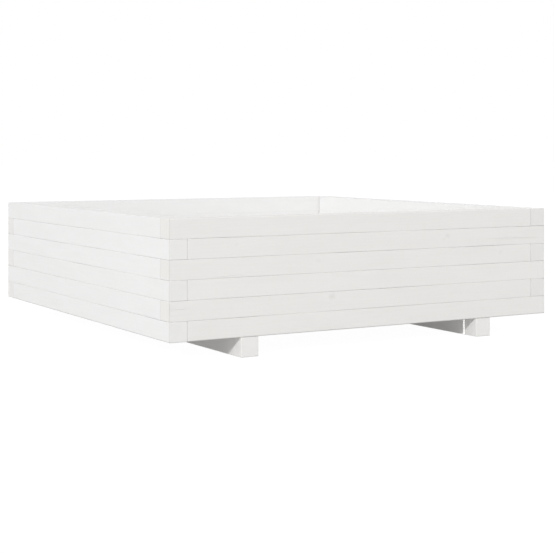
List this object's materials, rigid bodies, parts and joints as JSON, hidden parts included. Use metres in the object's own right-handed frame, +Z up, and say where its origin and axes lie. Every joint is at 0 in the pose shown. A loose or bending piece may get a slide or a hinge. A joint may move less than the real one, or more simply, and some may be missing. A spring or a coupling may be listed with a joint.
{
  "type": "wooden planter",
  "caption": "Low square timber planter: walls of stacked battens that lap in turn at the corners, a slatted floor with drain gaps, and runners that lift it off the ground.",
  "frame": {"origin": "middle of the base, on the plane that the runners stand on", "axes": "+X to the right along the front wall, +Y towards the back wall, +Z up"},
  "size_m": [0.9, 0.9, 0.266],
  "materials": {
    "painted_pine": "thin white paint on planed pine, satin, with the grain and knots just showing",
    "floor_pine": "the same white paint on planed floor boards",
    "screw_zinc": "bright zinc plate"
  },
  "bodies": {
    "root": {"front_batten_1": "painted_pine", "front_batten_2": "painted_pine", "front_batten_3": "painted_pine", "front_batten_4": "painted_pine", "front_batten_5": "painted_pine", "front_batten_6": "painted_pine", "right_batten_1": "painted_pine", "right_batten_2": "painted_pine", "right_batten_3": "painted_pine", "right_batten_4": "painted_pine", "right_batten_5": "painted_pine", "right_batten_6": "painted_pine", "back_batten_1": "painted_pine", "back_batten_2": "painted_pine", "back_batten_3": "painted_pine", "back_batten_4": "painted_pine", "back_batten_5": "painted_pine", "back_batten_6": "painted_pine", "left_batten_1": "painted_pine", "left_batten_2": "painted_pine", "left_batten_3": "painted_pine", "left_batten_4": "painted_pine", "left_batten_5": "painted_pine", "left_batten_6": "painted_pine", "left_runner": "painted_pine", "right_runner": "painted_pine", "floor_slat_1": "floor_pine", "floor_slat_2": "floor_pine", "floor_slat_3": "floor_pine", "floor_slat_4": "floor_pine", "floor_slat_5": "floor_pine", "floor_slat_6": "floor_pine", "floor_slat_7": "floor_pine", "floor_slat_8": "floor_pine", "corner_screws": "screw_zinc", "wall_screws": "screw_zinc", "runner_screws": "screw_zinc", "floor_screws": "screw_zinc"}
  },
  "joints": []
}
